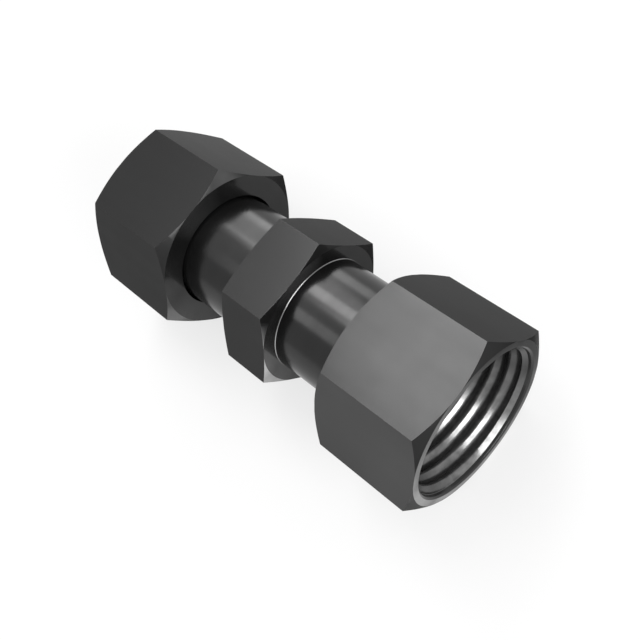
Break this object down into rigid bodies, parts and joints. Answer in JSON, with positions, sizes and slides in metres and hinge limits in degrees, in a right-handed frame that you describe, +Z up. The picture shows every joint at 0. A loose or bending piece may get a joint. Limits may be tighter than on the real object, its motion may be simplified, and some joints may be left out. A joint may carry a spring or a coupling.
{
  "type": "face seal fitting",
  "caption": "Straight metal face seal union: hex body, tubular glands with a raised sealing bead, and a female swivel nut that spins on each neck.",
  "frame": {"origin": "on the fitting's axis, in the middle of the middle hex, which is the centre of the whole part", "axes": "+X along the fitting's axis, out of the front nut's mouth; +Z up, square to the flat of each nut that the part lies on; the part is the same at both ends"},
  "size_m": [0.07, 0.0312, 0.027],
  "materials": {
    "hex_metal": "dark charcoal steel, smooth ground flats with a satin gloss",
    "gland_metal": "dark charcoal steel, finely turned and glossy",
    "nut_metal": "dark charcoal steel, smooth flats, bright cut thread inside"
  },
  "bodies": {
    "union": {"body_hex": "hex_metal", "front_gland": "gland_metal", "rear_gland": "gland_metal"},
    "front_nut": {"front_nut": "nut_metal"},
    "rear_nut": {"rear_nut": "nut_metal"}
  },
  "joints": [
    {"name": "front_nut_spin", "type": "hinge", "parent": "union", "child": "front_nut", "pos_m": [0.0259, 0, 0], "axis": [1, 0, 0], "continuous": true},
    {"name": "rear_nut_spin", "type": "hinge", "parent": "union", "child": "rear_nut", "pos_m": [-0.0259, 0, 0], "axis": [-1, 0, 0], "continuous": true}
  ]
}
